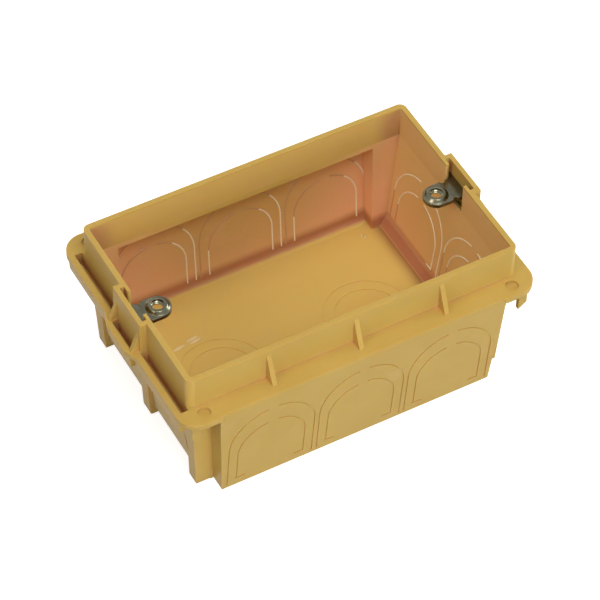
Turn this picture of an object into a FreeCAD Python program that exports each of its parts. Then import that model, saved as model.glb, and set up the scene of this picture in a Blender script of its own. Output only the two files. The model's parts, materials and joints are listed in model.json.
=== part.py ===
import FreeCAD, Part
import math
import os
import Sketcher

# Flush back box for three wiring modules: one resin moulding and two steel lugs.
# The box stands on its floor with the mouth up. X runs along the long side, Z is up,
# and the origin is the middle of the underside.

SIZES = [
    ("box_height", 45.0),
    ("collar_length", 97.4),
    ("collar_width", 60.4),
    ("collar_height", 10.2),
    ("collar_wall", 1.5),
    ("collar_corner", 2.0),
    ("flange_length", 105.2),
    ("flange_width", 73.2),
    ("flange_thick", 1.8),
    ("ear_radius", 6.0),
    ("ear_step", 0.8),
    ("bulge_reach", 1.6),
    ("bulge_width", 18.0),
    ("bulge_run", 4.0),
    ("floor_thick", 1.6),
    ("floor_bevel", 3.6),
    ("core_floor_length", 86.8),
    ("core_wall", 1.2),
    ("core_draft", 1.5),
    ("core_chamfer_rise", 5.0),
    ("core_chamfer_run", 2.8),
    ("panel_top_length", 85.0),
    ("panel_foot_length", 81.2),
    ("panel_top_width", 72.2),
    ("panel_foot_width", 66.2),
    ("panel_wall", 1.6),
    ("panel_round", 1.8),
    ("rib_width", 4.0),
    ("rib_pitch", 26.4),
    ("rib_head_length", 95.0),
    ("rib_foot_length", 91.4),
    ("rib_foot_lift", 0.3),
    ("rib_foot_round", 0.8),
    ("gusset_pitch", 25.5),
    ("gusset_thick", 1.3),
    ("gusset_reach", 3.5),
    ("gusset_drop", 1.8),
    ("slot_width", 2.2),
    ("slot_start", 7.2),
    ("slot_end", 30.4),
    ("short_slot_end", 24.0),
    ("gutter_length", 63.2),
    ("gutter_depth", 4.6),
    ("gutter_skin", 1.2),
    ("gutter_inset", 0.4),
    ("gutter_slope", 0.3),
    ("window_width", 10.4),
    ("window_depth", 1.9),
    ("web_spacing", 12.2),
    ("web_thick", 1.2),
    ("web_reach", 2.3),
    ("web_height", 5.6),
    ("tab_inset", 5.3),
    ("tab_width", 2.5),
    ("tab_thick", 1.2),
    ("tab_long", 7.2),
    ("tab_short", 5.2),
    ("tab_setback", 2.6),
    ("dimple_radius", 1.9),
    ("dimple_depth", 0.9),
    ("dimple_x", 45.6),
    ("dimple_y", 33.0),
    ("pocket_step", 2.0),
    ("pocket_width", 15.4),
    ("pocket_wall", 1.3),
    ("return_thick", 0.9),
    ("mouth_width", 8.8),
    ("arch_radius", 12.6),
    ("arch_centre", 16.4),
    ("arch_foot", 1.2),
    ("plug_radius", 9.9),
    ("plug_centre", 13.2),
    ("plug_foot", 2.7),
    ("plug_tick", 2.6),
    ("arch_pitch", 26.7),
    ("groove_width", 0.5),
    ("groove_depth", 0.25),
    ("ring_depth", 0.22),
    ("bridge_width", 3.0),
    ("ring_radius", 12.5),
    ("ring_plug_radius", 9.35),
    ("ring_spacing", 44.8),
    ("screw_spacing", 83.5),
    ("lug_width", 7.4),
    ("lug_thick", 1.2),
    ("lug_drop", 4.8),
    ("lug_leg_width", 11.6),
    ("lug_hole_radius", 1.75),
    ("lug_ring_radius", 3.3),
    ("lug_ring_top", 2.5),
    ("lug_ring_height", 0.9),
    ("lug_notch_radius", 0.7),
    ("lug_notch_place", 4.0),
]
NUMBERS = dict(SIZES)


class Dim:
    """A length with the sheet formula that drives it."""

    def __init__(self, value, text):
        self.value = value
        self.text = text

    def join(self, other, sign, value):
        return Dim(value, "(%s %s %s)" % (self.text, sign, other.text))

    def __add__(self, other):
        return self.join(other, "+", self.value + other.value)

    def __sub__(self, other):
        return self.join(other, "-", self.value - other.value)

    def __mul__(self, other):
        return self.join(other, "*", self.value * other.value)

    def __truediv__(self, other):
        return self.join(other, "/", self.value / other.value)

    def __neg__(self):
        return Dim(-self.value, "(-%s)" % self.text)

    def root(self):
        return Dim(math.sqrt(self.value), "sqrt(%s)" % self.text)

    def slope_angle(self):
        return Dim(math.degrees(math.atan(self.value)), "atan(%s)" % self.text)

    def times(self, sign):
        return self if sign > 0 else -self


def size(name):
    return Dim(NUMBERS[name], "Sizes." + name)


ZERO = Dim(0.0, "0")
ONE = Dim(1.0, "1")
TWO = Dim(2.0, "2")


def half(name):
    return size(name) / TWO


# Levels and half widths that several features share
FLANGE_TOP = size("box_height") - size("collar_height")
FLANGE_FOOT = FLANGE_TOP - size("flange_thick")
FLOOR_TOP = size("floor_thick")
COLLAR_X = half("collar_length")
COLLAR_Y = half("collar_width")
MOUTH_X = COLLAR_X - size("collar_wall")
MOUTH_Y = COLLAR_Y - size("collar_wall")
CORE_DRAFT = size("core_draft") / FLANGE_TOP
CORE_LEAN = (MOUTH_X - half("core_floor_length")) / (FLANGE_TOP - FLOOR_TOP)
PANEL_LEAN = (half("panel_top_width") - half("panel_foot_width")) / FLANGE_TOP
POCKET_OUT = COLLAR_X + size("pocket_step")
POCKET_IN = POCKET_OUT - size("pocket_wall")
SCREW_X = half("screw_spacing")
LUG_TOP = size("box_height") - size("lug_drop")
SIDES = (-1, 1)


def core_inside(level):
    """Inner face of the leaning short wall at a level."""
    return half("core_floor_length") + (level - FLOOR_TOP) * CORE_LEAN


def core_outside(level):
    return core_inside(level) + size("core_wall")


def core_end(level):
    """Outer half width of the core at a level; its ends draw in to the floor."""
    return MOUTH_Y + size("core_wall") - (FLANGE_TOP - level) * CORE_DRAFT


def panel_inside(level):
    """Inner face of the leaning long wall at a level."""
    return half("panel_foot_width") - size("panel_wall") + level * PANEL_LEAN


doc = FreeCAD.newDocument("FlushBackBox")
sheet = doc.addObject("Spreadsheet::Sheet", "Sizes")
for row, (alias, number) in enumerate(SIZES, start=1):
    sheet.set("A%d" % row, alias)
    sheet.set("B%d" % row, str(number))
    sheet.setAlias("B%d" % row, alias)
doc.recompute()


def new_body(label):
    body = doc.addObject("PartDesign::Body", label)
    body.Label = label
    return body


def new_sketch(body, name, role, lift=ZERO, shift=ZERO, tilt=None):
    """A sketch on an origin plane, lifted along its normal and tilted about its own x."""
    sketch = body.newObject("Sketcher::SketchObject", name)
    plane = [f for f in body.Origin.OriginFeatures if f.Role == role][0]
    sketch.AttachmentSupport = [(plane, "")]
    sketch.MapMode = "FlatFace"
    angle = tilt.value if tilt else 0.0
    turn = FreeCAD.Rotation(FreeCAD.Vector(1, 0, 0), angle)
    place = FreeCAD.Vector(shift.value, 0, lift.value)
    sketch.AttachmentOffset = FreeCAD.Placement(place, turn)
    sketch.setExpression("AttachmentOffset.Base.x", shift.text)
    sketch.setExpression("AttachmentOffset.Base.z", lift.text)
    if tilt:
        sketch.setExpression("AttachmentOffset.Rotation.Angle", tilt.text)
    return sketch


def pin(first, geo, pos, x, y):
    """Rules that tie a point to its sheet formulas; a zero coordinate lies on the axis."""
    rules = []
    formulas = []
    for axis, word, dim in ((-2, "DistanceX", x), (-1, "DistanceY", y)):
        if dim is ZERO:
            rules.append(Sketcher.Constraint("PointOnObject", geo, pos, axis))
        else:
            formulas.append((first + len(rules), dim.text))
            rules.append(Sketcher.Constraint(word, -1, 1, geo, pos, dim.value))
    return rules, formulas


def add_rules(sketch, rules, formulas):
    """Put rules on a sketch in one go, then bind the driven ones to the sheet."""
    sketch.addConstraint(rules)
    for index, text in formulas:
        sketch.setExpression("Constraints[%d]" % index, text)


def arc_between(start, end, radius, turn):
    """Circle arc of under half a turn; turn is 1 anticlockwise and -1 clockwise."""
    chord = end.sub(start)
    middle = start.add(end).multiply(0.5)
    reach = math.sqrt(max(radius ** 2 - (chord.Length / 2) ** 2, 0.0))
    normal = FreeCAD.Vector(-chord.y, chord.x, 0).normalize()
    centre = middle.add(normal.multiply(reach * turn))
    first = math.atan2(start.y - centre.y, start.x - centre.x)
    last = math.atan2(end.y - centre.y, end.x - centre.x)
    circle = Part.Circle(centre, FreeCAD.Vector(0, 0, 1), radius)
    if turn > 0:
        return Part.ArcOfCircle(circle, first, last)
    return Part.ArcOfCircle(circle, last, first)


def add_loop(sketch, corners):
    """Closed outline. A corner is (x, y) or (x, y, radius, turn) when an arc leaves it."""
    base = sketch.GeometryCount
    points = [FreeCAD.Vector(c[0].value, c[1].value, 0) for c in corners]
    lines = []
    ends = []
    for i, corner in enumerate(corners):
        start = points[i]
        end = points[(i + 1) % len(corners)]
        if len(corner) > 2:
            lines.append(arc_between(start, end, corner[2].value, corner[3]))
            ends.append((1, 2) if corner[3] > 0 else (2, 1))
        else:
            lines.append(Part.LineSegment(start, end))
            ends.append((1, 2))
    sketch.addGeometry(lines, False)
    rules = []
    formulas = []
    for i, corner in enumerate(corners):
        after = (i + 1) % len(corners)
        joint = Sketcher.Constraint(
            "Coincident", base + i, ends[i][1], base + after, ends[after][0])
        rules.append(joint)
        first = sketch.ConstraintCount + len(rules)
        tied, driven = pin(first, base + i, ends[i][0], corner[0], corner[1])
        rules += tied
        formulas += driven
        if len(corner) > 2:
            formulas.append((sketch.ConstraintCount + len(rules), corner[2].text))
            rules.append(Sketcher.Constraint("Radius", base + i, corner[2].value))
    add_rules(sketch, rules, formulas)


def add_box(sketch, left, right, low, high):
    add_loop(sketch, [(left, low), (right, low), (right, high), (left, high)])


def add_round_box(sketch, x, y, radius):
    """Rounded rectangle about the origin, given its half sizes."""
    add_loop(sketch, [
        (-x + radius, -y), (x - radius, -y, radius, 1),
        (x, -y + radius), (x, y - radius, radius, 1),
        (x - radius, y), (-x + radius, y, radius, 1),
        (-x, y - radius), (-x, -y + radius, radius, 1),
    ])


def add_circle(sketch, x, y, radius):
    centre = FreeCAD.Vector(x.value, y.value, 0)
    circle = Part.Circle(centre, FreeCAD.Vector(0, 0, 1), radius.value)
    geo = sketch.addGeometry(circle, False)
    rules, formulas = pin(sketch.ConstraintCount, geo, 3, x, y)
    formulas.append((sketch.ConstraintCount + len(rules), radius.text))
    rules.append(Sketcher.Constraint("Radius", geo, radius.value))
    add_rules(sketch, rules, formulas)


def feature(body, kind, name, sketch, length, both=False, reverse=False):
    """Pad or Pocket of a sketch, to a length in the sheet."""
    item = body.newObject("PartDesign::" + kind, name)
    item.Profile = (sketch, [""])
    item.Length = length.value
    item.setExpression("Length", length.text)
    item.SideType = "Symmetric" if both else "One side"
    item.Reversed = reverse
    sketch.Visibility = False
    doc.recompute()
    return item


def loft(body, kind, name, levels):
    """Straight-sided loft through level boxes, each (level, left, right, low, high)."""
    outlines = []
    for number, (level, left, right, low, high) in enumerate(levels, start=1):
        outline = new_sketch(body, "%s_outline_%d" % (name, number), "XY_Plane", level)
        add_box(outline, left, right, low, high)
        outline.Visibility = False
        outlines.append(outline)
    item = body.newObject("PartDesign::" + kind, name)
    item.Profile = (outlines[0], [""])
    item.Sections = [(outline, [""]) for outline in outlines[1:]]
    item.Ruled = True
    doc.recompute()
    return item


def centred(level, x, y):
    """Level box about the middle, given its half sizes."""
    return (level, -x, x, -y, y)


def mirrored(body, name, originals, role):
    item = body.newObject("PartDesign::Mirrored", name)
    item.Originals = originals
    plane = [f for f in body.Origin.OriginFeatures if f.Role == role][0]
    item.MirrorPlane = (plane, [""])
    body.Tip = item
    doc.recompute()
    return item


def add_arch(sketch, middle, radius, centre, foot, tick=None):
    """Knockout outline as two half arches, with a bridge left at the crown."""
    groove = half("groove_width")
    gap = half("bridge_width")
    outer = radius + groove
    inner = radius - groove
    crown_out = centre + (outer * outer - gap * gap).root()
    crown_in = centre + (inner * inner - gap * gap).root()
    for side in SIDES:
        def across(reach):
            return middle + reach.times(side)
        loop = [
            (across(outer), foot),
            (across(outer), centre, outer, side),
            (across(gap), crown_out),
            (across(gap), crown_in, inner, -side),
            (across(inner), centre),
        ]
        if tick:
            rise = foot + size("groove_width")
            loop += [(across(inner), rise), (across(radius - tick), rise)]
            loop += [(across(radius - tick), foot)]
        else:
            loop += [(across(inner), foot)]
        add_loop(sketch, loop)


# The moulding
box = new_body("back_box")

# Core: the trough between the short walls, which lean in to the floor
core_rise = size("core_chamfer_rise")
core_knee = core_outside(core_rise)
core_foot = core_outside(ZERO) - size("core_chamfer_run")
loft(box, "AdditiveLoft", "core_block", [
    centred(ZERO, core_foot, core_end(ZERO)),
    centred(core_rise, core_knee, core_end(core_rise)),
    centred(FLANGE_TOP, core_outside(FLANGE_TOP), core_end(FLANGE_TOP)),
])

# Long walls: panels that stand proud of the core and carry the side knockouts
loft(box, "AdditiveLoft", "panel_block", [
    centred(ZERO, half("panel_foot_length"), half("panel_foot_width")),
    centred(FLANGE_TOP, half("panel_top_length"), half("panel_top_width")),
])

# Anchoring ribs down the outside of the short walls: one in the middle, one at each end
rib_lift = size("rib_foot_lift")
rib_root = core_foot - size("core_wall")
rib_toe = half("rib_foot_length")
rib_head = half("rib_head_length")
rib = new_sketch(box, "rib_middle_profile", "XZ_Plane")
add_loop(rib, [
    (rib_root, rib_lift), (rib_toe - size("rib_foot_round"), rib_lift, size("rib_foot_round"), 1),
    (rib_toe, rib_lift + size("rib_foot_round")), (rib_head, FLANGE_FOOT),
    (rib_root, FLANGE_FOOT),
])
ribs = [feature(box, "Pad", "rib_middle", rib, size("rib_width"), both=True)]
for end in SIDES:
    rib_levels = []
    for level, reach in ((rib_lift, rib_toe), (FLANGE_FOOT, rib_head)):
        sides = (core_end(level) - size("rib_width"), core_end(level))
        low, high = sides if end > 0 else (-sides[1], -sides[0])
        rib_levels.append((level, rib_root, reach, low, high))
    name = "rib_far" if end > 0 else "rib_near"
    ribs.append(loft(box, "AdditiveLoft", name, rib_levels))
mirrored(box, "ribs_left", ribs, "YZ_Plane")

# Flange with four rounded ears and a bulge round each lug pocket
flange = new_sketch(box, "flange_outline", "XY_Plane", FLANGE_FOOT)
ear_x = half("flange_length")
ear_y = half("flange_width")
ear_r = size("ear_radius")
ledge_x = half("panel_top_length") - size("ear_step")
ledge_y = half("panel_top_width")
bulge_x = ear_x + size("bulge_reach")
bulge_y = half("bulge_width") - size("bulge_run")
bulge_root = half("bulge_width")
add_loop(flange, [
    (-ledge_x, -ledge_y), (ledge_x, -ledge_y), (ledge_x + size("ear_step"), -ear_y),
    (ear_x - ear_r, -ear_y, ear_r, 1), (ear_x, -ear_y + ear_r),
    (ear_x, -bulge_root), (bulge_x, -bulge_y), (bulge_x, bulge_y), (ear_x, bulge_root),
    (ear_x, ear_y - ear_r, ear_r, 1), (ear_x - ear_r, ear_y),
    (ledge_x + size("ear_step"), ear_y), (ledge_x, ledge_y), (-ledge_x, ledge_y),
    (-ledge_x - size("ear_step"), ear_y),
    (-ear_x + ear_r, ear_y, ear_r, 1), (-ear_x, ear_y - ear_r),
    (-ear_x, bulge_root), (-bulge_x, bulge_y), (-bulge_x, -bulge_y), (-ear_x, -bulge_root),
    (-ear_x, -ear_y + ear_r, ear_r, 1), (-ear_x + ear_r, -ear_y),
    (-ledge_x - size("ear_step"), -ear_y),
])
feature(box, "Pad", "flange_plate", flange, size("flange_thick"))

# Gutters under the short sides of the flange, which close the slots from below
gutter_foot = FLANGE_TOP - size("gutter_depth") - size("gutter_skin")
window_y = half("window_width")
gutter_runs = (
    ("gutter", ear_x - size("gutter_inset"), size("gutter_length")),
    ("window_gutter", bulge_x - size("gutter_inset") * TWO,
     (window_y + size("gutter_skin")) * TWO),
)
gutters = []
for name, reach, run in gutter_runs:
    gutter = new_sketch(box, name + "_profile", "XZ_Plane")
    add_loop(gutter, [
        (core_outside(gutter_foot) - half("core_wall"), gutter_foot),
        (reach - size("gutter_slope"), gutter_foot), (reach, FLANGE_FOOT),
        (core_outside(FLANGE_FOOT) - half("core_wall"), FLANGE_FOOT),
    ])
    gutters.append(feature(box, "Pad", name, gutter, run, both=True))
mirrored(box, "gutters_left", gutters, "YZ_Plane")

# Collar that stands up round the mouth, and the stepped-out lug pockets on its ends
collar = new_sketch(box, "collar_outline", "XY_Plane", FLANGE_FOOT)
add_round_box(collar, COLLAR_X, COLLAR_Y, size("collar_corner"))
feature(box, "Pad", "collar_block", collar, size("collar_height") + size("flange_thick"))
pockets = new_sketch(box, "pocket_outline", "XY_Plane", FLANGE_FOOT)
pocket_y = half("pocket_width")
add_box(pockets, -POCKET_OUT, POCKET_OUT, -pocket_y, pocket_y)
feature(box, "Pad", "pocket_block", pockets, size("collar_height") + size("flange_thick"))

# Gussets between the collar and the long ledges
gusset_top = size("box_height") - size("gusset_drop")
gusset_root = COLLAR_Y - half("collar_wall")
gusset_tip = COLLAR_Y + size("gusset_reach")
gussets = []
gusset_places = (-size("gusset_pitch"), ZERO, size("gusset_pitch"))
for number, lift in enumerate(gusset_places, start=1):
    gusset = new_sketch(box, "gusset_%d_profile" % number, "YZ_Plane", lift)
    add_loop(gusset, [
        (-gusset_tip, FLANGE_FOOT), (-gusset_root, FLANGE_FOOT),
        (-gusset_root, gusset_top), (-COLLAR_Y, gusset_top), (-gusset_tip, FLANGE_TOP),
    ])
    name = "gusset_%d" % number
    gussets.append(feature(box, "Pad", name, gusset, size("gusset_thick"), both=True))
mirrored(box, "gussets_far", gussets, "XZ_Plane")

# Webs from each lug pocket to the rim
webs = []
for end in SIDES:
    name = "web_far" if end < 0 else "web_near"
    web = new_sketch(box, name + "_profile", "XZ_Plane", half("web_spacing").times(end))
    web_root = POCKET_OUT - half("pocket_wall")
    web_tip = POCKET_OUT + size("web_reach")
    add_loop(web, [
        (web_root, FLANGE_FOOT), (web_tip, FLANGE_FOOT), (web_tip, FLANGE_TOP),
        (POCKET_OUT, FLANGE_TOP + size("web_height")),
        (web_root, FLANGE_TOP + size("web_height")),
    ])
    webs.append(feature(box, "Pad", name, web, size("web_thick"), both=True))
mirrored(box, "webs_left", webs, "YZ_Plane")

# Short tabs that hang below the ears
tabs = []
for end in SIDES:
    name = "tab_far" if end < 0 else "tab_near"
    tab_lift = (half("flange_width") - size("tab_setback")).times(end)
    tab = new_sketch(box, name + "_profile", "XZ_Plane", tab_lift)
    tab_in = half("flange_length") - size("tab_inset")
    tab_out = tab_in + size("tab_width")
    tab_root = FLANGE_TOP - half("flange_thick")
    add_loop(tab, [
        (tab_in, tab_root), (tab_in, FLANGE_FOOT - size("tab_long")),
        (tab_out, FLANGE_FOOT - size("tab_short")), (tab_out, tab_root),
    ])
    tabs.append(feature(box, "Pad", name, tab, size("tab_thick"), both=True))
mirrored(box, "tabs_left", tabs, "YZ_Plane")

# Inside of the collar, then of the core and of the wider space between the panels
mouth = new_sketch(box, "mouth_outline", "XY_Plane", size("box_height"))
add_round_box(mouth, MOUTH_X, MOUTH_Y, size("collar_corner") - size("collar_wall"))
feature(box, "Pocket", "mouth", mouth, size("collar_height"))
bevel_level = FLOOR_TOP + size("floor_bevel")
bevel_run = size("floor_bevel") * (core_knee - core_foot) / core_rise
loft(box, "SubtractiveLoft", "core_cavity", [
    centred(FLOOR_TOP, core_inside(bevel_level) - bevel_run,
            core_end(FLOOR_TOP) - size("core_wall")),
    centred(bevel_level, core_inside(bevel_level), core_end(bevel_level) - size("core_wall")),
    centred(FLANGE_TOP, MOUTH_X, MOUTH_Y),
])


def add_trough(sketch, inside, lean, top, run):
    """Trough section with leaning sides and rounded floor corners."""
    stretch = (ONE + lean * lean).root()
    floor_x = inside(FLOOR_TOP) - run
    wall_x = inside(FLOOR_TOP) + run * lean / stretch
    wall_z = FLOOR_TOP + run / stretch
    radius = run * (stretch + lean)
    add_loop(sketch, [
        (-floor_x, FLOOR_TOP), (floor_x, FLOOR_TOP, radius, 1), (wall_x, wall_z),
        (inside(top), top), (-inside(top), top), (-wall_x, wall_z, radius, 1),
    ])


bays = new_sketch(box, "panel_cavity_profile", "YZ_Plane")
add_trough(bays, panel_inside, PANEL_LEAN, FLANGE_FOOT, size("panel_round"))
bay_space = size("panel_foot_length") - size("panel_wall") * TWO
feature(box, "Pocket", "panel_cavity", bays, bay_space, both=True)

# Lug pockets: a mouth in the collar wall and a wider slot behind its two returns
slots = new_sketch(box, "lug_slot_outline", "XY_Plane", size("box_height"))
slot_in = MOUTH_X - half("collar_wall")
slot_face = MOUTH_X + size("return_thick")
slot_y = half("pocket_width") - size("pocket_wall")
mouth_y = half("mouth_width")
for side in SIDES:
    add_loop(slots, [
        (slot_in.times(side), -mouth_y), (slot_face.times(side), -mouth_y),
        (slot_face.times(side), -slot_y), (POCKET_IN.times(side), -slot_y),
        (POCKET_IN.times(side), slot_y), (slot_face.times(side), slot_y),
        (slot_face.times(side), mouth_y), (slot_in.times(side), mouth_y),
    ])
feature(box, "Pocket", "lug_slots", slots, size("collar_height"))

# Plaster slots along the rim, those of one end short of their ears, and the windows
# outside the pockets, all down into the gutters
rim = new_sketch(box, "rim_slot_outline", "XY_Plane", FLANGE_TOP)
rim_out = COLLAR_X + size("slot_width")
rim_start = size("slot_start") + half("web_thick")
window_out = POCKET_OUT + size("window_depth")
for side in SIDES:
    left, right = (COLLAR_X, rim_out) if side > 0 else (-rim_out, -COLLAR_X)
    rim_end = size("short_slot_end" if side > 0 else "slot_end")
    add_box(rim, left, right, rim_start, rim_end)
    add_box(rim, left, right, -rim_end, -rim_start)
    left, right = (POCKET_OUT, window_out) if side > 0 else (-window_out, -POCKET_OUT)
    add_box(rim, left, right, -window_y, window_y)
feature(box, "Pocket", "rim_slots", rim, size("gutter_depth"))

# Round dimples on the ears
dimples = new_sketch(box, "dimple_outline", "XY_Plane", FLANGE_TOP)
for side in SIDES:
    for end in SIDES:
        add_circle(dimples, size("dimple_x").times(side), size("dimple_y").times(end),
                   size("dimple_radius"))
feature(box, "Pocket", "dimples", dimples, size("dimple_depth"))

def cut_knockouts(name, role, outside, lean, places, framed):
    """Knockout grooves in the outside of a leaning wall; gives the cuts for mirroring."""
    cuts = []
    for number, middle in enumerate(places, start=1):
        label = "%s_%d" % (name, number)
        outline = new_sketch(box, label + "_outline", role, outside, tilt=lean.slope_angle())
        add_arch(outline, middle, size("plug_radius"), size("plug_centre"), size("plug_foot"),
                 size("plug_tick"))
        if framed:
            add_arch(outline, middle, size("arch_radius"), size("arch_centre"),
                     size("arch_foot"))
        cuts.append(feature(box, "Pocket", label, outline, size("groove_depth")))
    return cuts


# Side knockouts: double outlines on the long walls and single ones between the end ribs
pitch = size("arch_pitch")
long_cuts = cut_knockouts("long_knockout", "XZ_Plane", half("panel_foot_width"), PANEL_LEAN,
                          (-pitch, ZERO, pitch), framed=True)
mirrored(box, "long_knockouts_far", long_cuts, "XZ_Plane")
end_cuts = cut_knockouts("end_knockout", "YZ_Plane", core_outside(ZERO), CORE_LEAN,
                         (-pitch / TWO, pitch / TWO), framed=False)
mirrored(box, "end_knockouts_left", end_cuts, "YZ_Plane")


def add_rings(sketch):
    """Round floor knockouts as plain double rings."""
    groove = half("groove_width")
    for side in SIDES:
        for radius in (size("ring_radius"), size("ring_plug_radius")):
            add_circle(sketch, half("ring_spacing").times(side), ZERO, radius + groove)
            add_circle(sketch, half("ring_spacing").times(side), ZERO, radius - groove)


floor_rings = new_sketch(box, "floor_ring_outline", "XY_Plane", FLOOR_TOP)
add_rings(floor_rings)
feature(box, "Pocket", "floor_rings", floor_rings, size("ring_depth"))

# The two steel lugs
bodies = [box]
for side, label in ((-1, "fixing_lug_left"), (1, "fixing_lug_right")):
    lug = new_body(label)
    lug_y = half("lug_width")
    notch_r = size("lug_notch_radius")
    notch_x = SCREW_X + size("lug_notch_place")
    leg_x = POCKET_IN - size("lug_thick")
    tab = new_sketch(lug, label + "_tab_outline", "XY_Plane", LUG_TOP - size("lug_thick"))
    add_loop(tab, [
        (POCKET_IN.times(side), -lug_y),
        ((notch_x + notch_r).times(side), -lug_y, notch_r, side),
        (notch_x.times(side), -lug_y + notch_r, notch_r, side),
        ((notch_x - notch_r).times(side), -lug_y),
        (SCREW_X.times(side), -lug_y, lug_y, -side),
        ((SCREW_X - lug_y).times(side), ZERO, lug_y, -side),
        (SCREW_X.times(side), lug_y),
        ((notch_x - notch_r).times(side), lug_y, notch_r, side),
        (notch_x.times(side), lug_y - notch_r, notch_r, side),
        ((notch_x + notch_r).times(side), lug_y),
        (POCKET_IN.times(side), lug_y),
    ])
    feature(lug, "Pad", label + "_tab", tab, size("lug_thick"))
    leg = new_sketch(lug, label + "_leg_outline", "XY_Plane", FLANGE_TOP)
    leg_y = half("lug_leg_width")
    left, right = (leg_x, POCKET_IN) if side > 0 else (-POCKET_IN, -leg_x)
    add_box(leg, left, right, -leg_y, leg_y)
    leg_height = LUG_TOP - FLANGE_TOP
    feature(lug, "Pad", label + "_leg", leg, leg_height)
    ring = new_sketch(lug, label + "_ring_profile", "XZ_Plane", shift=SCREW_X.times(side))
    ring_foot = LUG_TOP - half("lug_thick")
    ring_top = LUG_TOP + size("lug_ring_height")
    add_loop(ring, [
        (size("lug_hole_radius"), ring_foot), (size("lug_ring_radius"), ring_foot),
        (size("lug_ring_radius"), LUG_TOP), (size("lug_ring_top"), ring_top),
        (size("lug_hole_radius"), ring_top),
    ])
    turn = lug.newObject("PartDesign::Revolution", label + "_ring")
    turn.Profile = (ring, [""])
    turn.ReferenceAxis = (ring, ["V_Axis"])
    ring.Visibility = False
    doc.recompute()
    hole = new_sketch(lug, label + "_hole_outline", "XY_Plane", ring_top)
    add_circle(hole, SCREW_X.times(side), ZERO, size("lug_hole_radius"))
    feature(lug, "Pocket", label + "_hole", hole,
            size("lug_thick") + size("lug_ring_height"))
    bodies.append(lug)

doc.recompute()
for item in doc.Objects:
    if "Invalid" in item.State or "Error" in item.State:
        raise RuntimeError("feature failed: " + item.Name)
os.makedirs("parts", exist_ok=True)
for body in bodies:
    shape = body.Shape
    if shape.isNull() or not shape.isValid() or len(shape.Solids) != 1:
        raise RuntimeError("bad solid: " + body.Label)
    shape.exportStep("parts/%s.step" % body.Label)
    extent = shape.BoundBox
    print(body.Label, round(shape.Volume, 1), len(shape.Faces),
          [round(v, 2) for v in (extent.XMin, extent.XMax, extent.YMin, extent.YMax,
                                 extent.ZMin, extent.ZMax)])
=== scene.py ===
"""Studio scene of a yellow flush back box with two zinc-plated fixing lugs."""
import json
import logging
import math
from dataclasses import dataclass, field
from enum import Enum
from typing import ClassVar, Dict, List, Optional, Tuple

import bmesh
import bpy
from mathutils import Matrix, Vector


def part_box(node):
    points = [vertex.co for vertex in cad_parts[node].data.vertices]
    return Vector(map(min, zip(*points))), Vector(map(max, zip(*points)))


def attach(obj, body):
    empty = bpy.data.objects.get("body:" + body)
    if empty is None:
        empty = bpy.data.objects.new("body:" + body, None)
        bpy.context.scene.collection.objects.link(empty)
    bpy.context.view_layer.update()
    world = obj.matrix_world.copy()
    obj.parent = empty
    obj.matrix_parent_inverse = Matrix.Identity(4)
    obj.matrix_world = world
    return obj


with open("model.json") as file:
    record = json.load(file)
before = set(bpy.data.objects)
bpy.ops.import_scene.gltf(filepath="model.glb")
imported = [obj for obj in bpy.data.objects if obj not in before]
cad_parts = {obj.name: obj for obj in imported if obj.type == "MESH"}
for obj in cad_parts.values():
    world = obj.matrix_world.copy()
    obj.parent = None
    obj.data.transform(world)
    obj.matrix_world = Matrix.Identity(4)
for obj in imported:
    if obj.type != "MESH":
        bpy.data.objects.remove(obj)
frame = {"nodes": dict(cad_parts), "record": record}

LOG = logging.getLogger("back_box_scene")
BODY = "root"
SCREW_MOUNT = "device_screws"
MM = 0.001

Colour = Tuple[float, float, float]
Pair = Tuple[float, float]
Socket = bpy.types.NodeSocket


class Node(Enum):
    """CAD nodes of the part."""

    BOX = "back_box"
    LUG_LEFT = "fixing_lug_left"
    LUG_RIGHT = "fixing_lug_right"


class Slot(Enum):
    """Material slots of the record."""

    RESIN = "resin"
    ZINC = "zinc_steel"


class Kind(Enum):
    """Socket types of a node group."""

    COLOUR = "NodeSocketColor"
    VALUE = "NodeSocketFloat"


def rgba(colour: Colour) -> Tuple[float, float, float, float]:
    """Give a colour with full alpha.

    Args:
        colour: red, green and blue.

    Returns:
        The colour with an alpha of 1.
    """
    return (*colour, 1.0)


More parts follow.
